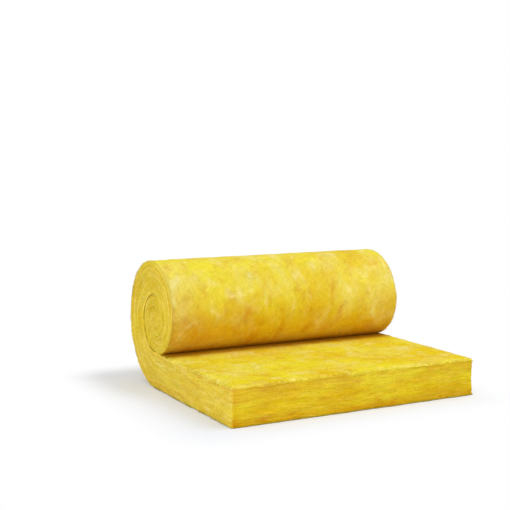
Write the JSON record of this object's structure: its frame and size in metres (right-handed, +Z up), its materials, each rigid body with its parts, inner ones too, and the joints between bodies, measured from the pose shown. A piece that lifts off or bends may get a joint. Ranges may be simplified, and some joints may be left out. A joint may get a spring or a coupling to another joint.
{
  "type": "insulation roll",
  "caption": "Glass wool insulation mat, partly unrolled: a thick flat lead with square-cut edges runs back under a loose outer turn into a tightly wound roll without a core.",
  "frame": {"origin": "middle of the footprint, on the floor", "axes": "+Z up, +X across the mat along the roll's axis, -Y out of the mat's cut end, away from the roll"},
  "size_m": [1.2, 1.0766, 0.5786],
  "materials": {
    "glass_wool": "matt yellow wool with paler and more orange patches"
  },
  "bodies": {
    "root": {"glass_wool_mat": "glass_wool"}
  },
  "joints": []
}
